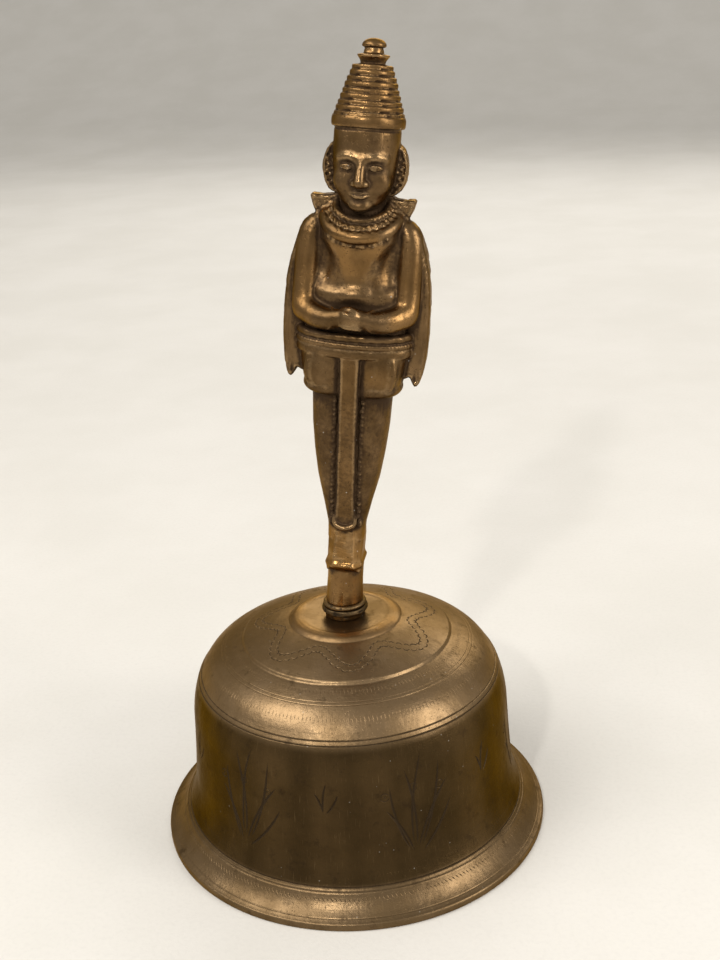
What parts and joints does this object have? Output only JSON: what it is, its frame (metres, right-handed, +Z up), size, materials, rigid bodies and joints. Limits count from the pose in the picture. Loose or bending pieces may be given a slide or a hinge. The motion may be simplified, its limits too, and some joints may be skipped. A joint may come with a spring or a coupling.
{
  "type": "hand bell",
  "caption": "Brass hand bell: flared turned cup with engraved bands, cast standing winged figure as the handle, and a free-swinging clapper on a wire link.",
  "frame": {"origin": "centre of the mouth, on the plane that the rim rests on", "axes": "+Z up through the crown, the figure faces -Y, +X is the side that the figure leans to"},
  "size_m": [0.088, 0.088, 0.1716],
  "materials": {
    "bell_brass": "aged, brown patina, satin, with turned and punched lines",
    "figure_brass": "aged casting, brown patina with golden wear on raised edges",
    "collar_brass": "aged, dark",
    "clapper_brass": "aged, worn bright where it strikes",
    "iron": "dark, aged iron"
  },
  "bodies": {
    "bell": {"bell_body": "bell_brass", "collar_ring": "collar_brass", "thin_ring": "figure_brass", "figure_handle": "figure_brass", "eye_bolt": "iron", "crown_washer": "iron", "lock_nut": "iron"},
    "link": {"suspension_link": "iron"},
    "clapper": {"clapper_rod": "iron", "clapper_ball": "clapper_brass"}
  },
  "joints": [
    {"name": "link_swing", "type": "hinge", "parent": "bell", "child": "link", "pos_m": [0, 0, 0.0385], "axis": [0, 1, 0], "range_deg": [-60, 60]},
    {"name": "clapper_tilt", "type": "hinge", "parent": "link", "child": "clapper", "pos_m": [0, 0, 0.03345], "axis": [1, 0, 0], "range_deg": [-60, 60]}
  ]
}
